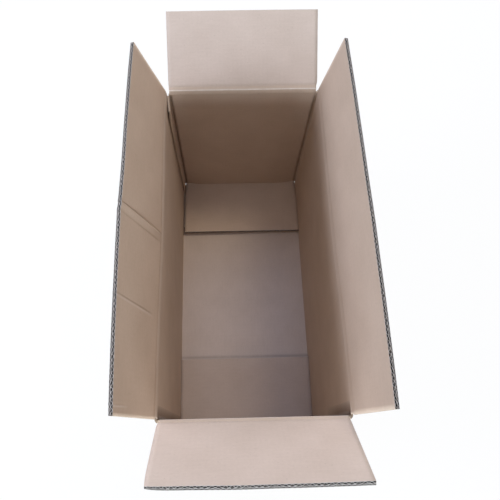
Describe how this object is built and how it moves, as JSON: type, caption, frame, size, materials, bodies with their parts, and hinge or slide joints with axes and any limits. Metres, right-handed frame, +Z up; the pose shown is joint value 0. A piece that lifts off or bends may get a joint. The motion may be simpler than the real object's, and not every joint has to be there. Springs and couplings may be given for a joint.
{
  "type": "open cardboard box",
  "caption": "Open slotted shipping box in double-wall corrugated board, top flaps folded outward on their scores.",
  "frame": {"origin": "centre of the underside, on the floor seam", "axes": "+Z up, +Y along the length to the back wall that carries the glue tab, +X to the right"},
  "size_m": [0.3613, 0.8024, 0.556],
  "materials": {
    "board": "matte",
    "tape": "satin"
  },
  "bodies": {
    "carton": {"box_body": "board", "bottom_tape": "tape"},
    "left": {"left_flap": "board"},
    "right": {"right_flap": "board"},
    "front": {"front_flap": "board"},
    "back": {"back_flap": "board"}
  },
  "joints": [
    {"name": "left_fold", "type": "hinge", "parent": "carton", "child": "left", "pos_m": [-0.15015, 0, 0.41], "axis": [0, 1, 0], "range_deg": [-160.3, 104.7]},
    {"name": "right_fold", "type": "hinge", "parent": "carton", "child": "right", "pos_m": [0.15015, 0, 0.41], "axis": [0, -1, 0], "range_deg": [-165.6, 99.4]},
    {"name": "front_fold", "type": "hinge", "parent": "carton", "child": "front", "pos_m": [0, -0.30015, 0.4035], "axis": [-1, 0, 0], "range_deg": [-142.5, 122.5]},
    {"name": "back_fold", "type": "hinge", "parent": "carton", "child": "back", "pos_m": [0, 0.30015, 0.4035], "axis": [1, 0, 0], "range_deg": [-118, 147]}
  ]
}
